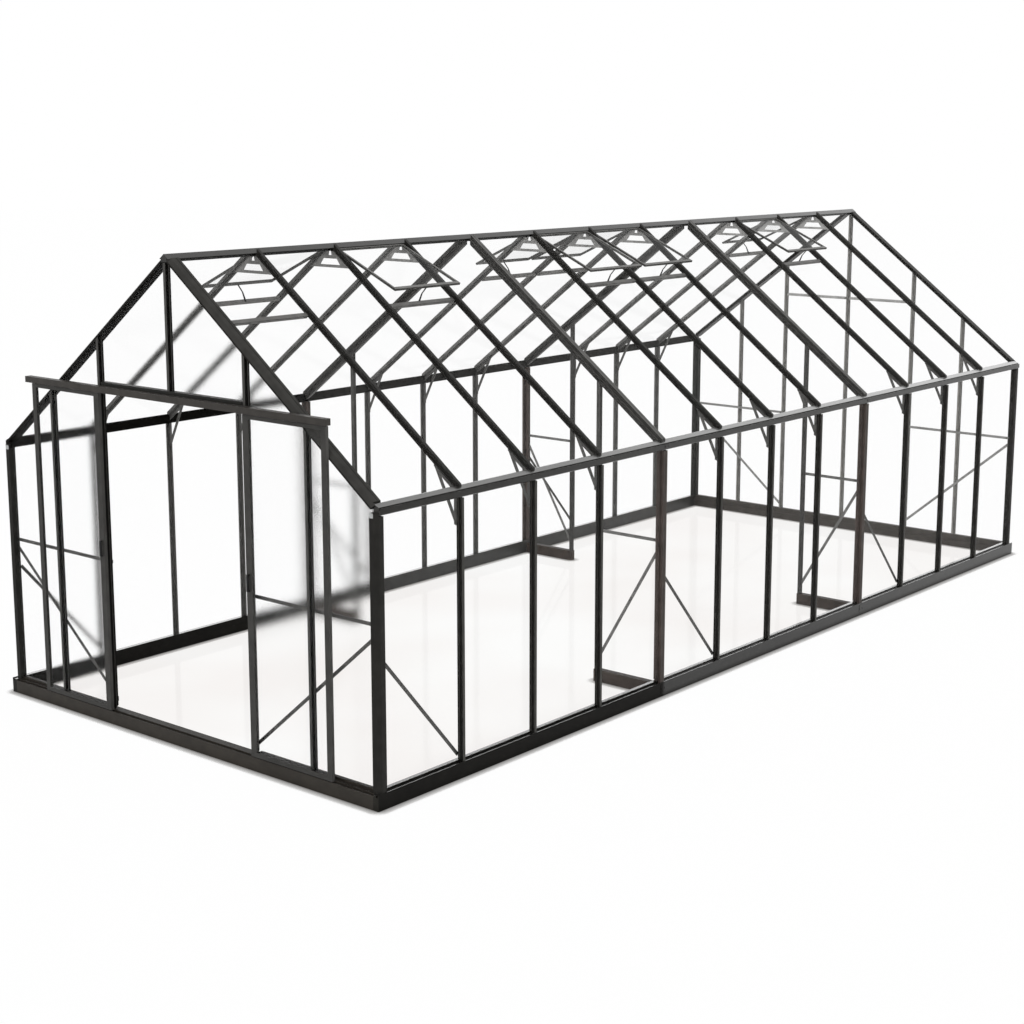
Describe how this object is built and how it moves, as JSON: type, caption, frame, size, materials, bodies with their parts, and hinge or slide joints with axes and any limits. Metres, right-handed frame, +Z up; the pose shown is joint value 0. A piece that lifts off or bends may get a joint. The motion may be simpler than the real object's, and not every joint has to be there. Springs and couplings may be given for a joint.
{
  "type": "greenhouse",
  "caption": "Long free-standing aluminium greenhouse with clear sheets, a pitched roof with open vents, and twin sliding doors in the gable.",
  "frame": {"origin": "bottom centre of the bounding box", "axes": "+Z up, X across the gable, the door gable faces -Y, +X is the right hand wall seen from the doors"},
  "size_m": [3.188, 7.56, 2.7965],
  "materials": {
    "frame_paint": "powder coat, satin",
    "rail_paint": "powder coat, satin",
    "gutter_paint": "powder coat, satin",
    "dark_fittings": "satin",
    "clear_sheet": "clear",
    "frosted_sheet": "frosted"
  },
  "bodies": {
    "house": {"base_rail_left": "rail_paint", "base_rail_right": "rail_paint", "base_rail_front": "rail_paint", "base_rail_back": "rail_paint", "corner_posts": "frame_paint", "wall_bars_left": "frame_paint", "wall_bars_right": "frame_paint", "section_posts": "frame_paint", "eaves_left": "gutter_paint", "eaves_right": "gutter_paint", "ridge": "gutter_paint", "rafters_left": "frame_paint", "rafters_right": "frame_paint", "section_rafters": "frame_paint", "verge_front": "frame_paint", "verge_back": "frame_paint", "gable_bars_front": "frame_paint", "gable_bars_back": "frame_paint", "head_rails": "frame_paint", "gable_braces": "frame_paint", "wall_braces": "frame_paint", "portal_feet": "rail_paint", "portal_posts": "frame_paint", "portal_braces": "frame_paint", "knee_braces": "frame_paint", "ridge_gussets": "frame_paint", "vent_sills": "frame_paint", "vent_frames": "frame_paint", "vent_sheets": "clear_sheet", "vent_stays": "dark_fittings", "wall_sheets_left": "clear_sheet", "wall_sheets_right": "clear_sheet", "roof_sheets_left": "clear_sheet", "roof_sheets_right": "clear_sheet", "gable_sheets_front": "frosted_sheet", "gable_sheets_back": "clear_sheet", "door_track": "frame_paint"},
    "door_left": {"door_left_frame": "frame_paint", "door_left_sheet": "frosted_sheet", "door_left_rollers": "dark_fittings", "door_left_handle": "dark_fittings"},
    "door_right": {"door_right_frame": "frame_paint", "door_right_sheet": "frosted_sheet", "door_right_rollers": "dark_fittings", "door_right_handle": "dark_fittings"}
  },
  "joints": [
    {"name": "door_left_slide", "type": "slide", "parent": "house", "child": "door_left", "axis": [1, 0, 0], "range_m": [0, 0.594]},
    {"name": "door_right_slide", "type": "slide", "parent": "house", "child": "door_right", "axis": [-1, 0, 0], "range_m": [0, 0.626]}
  ]
}
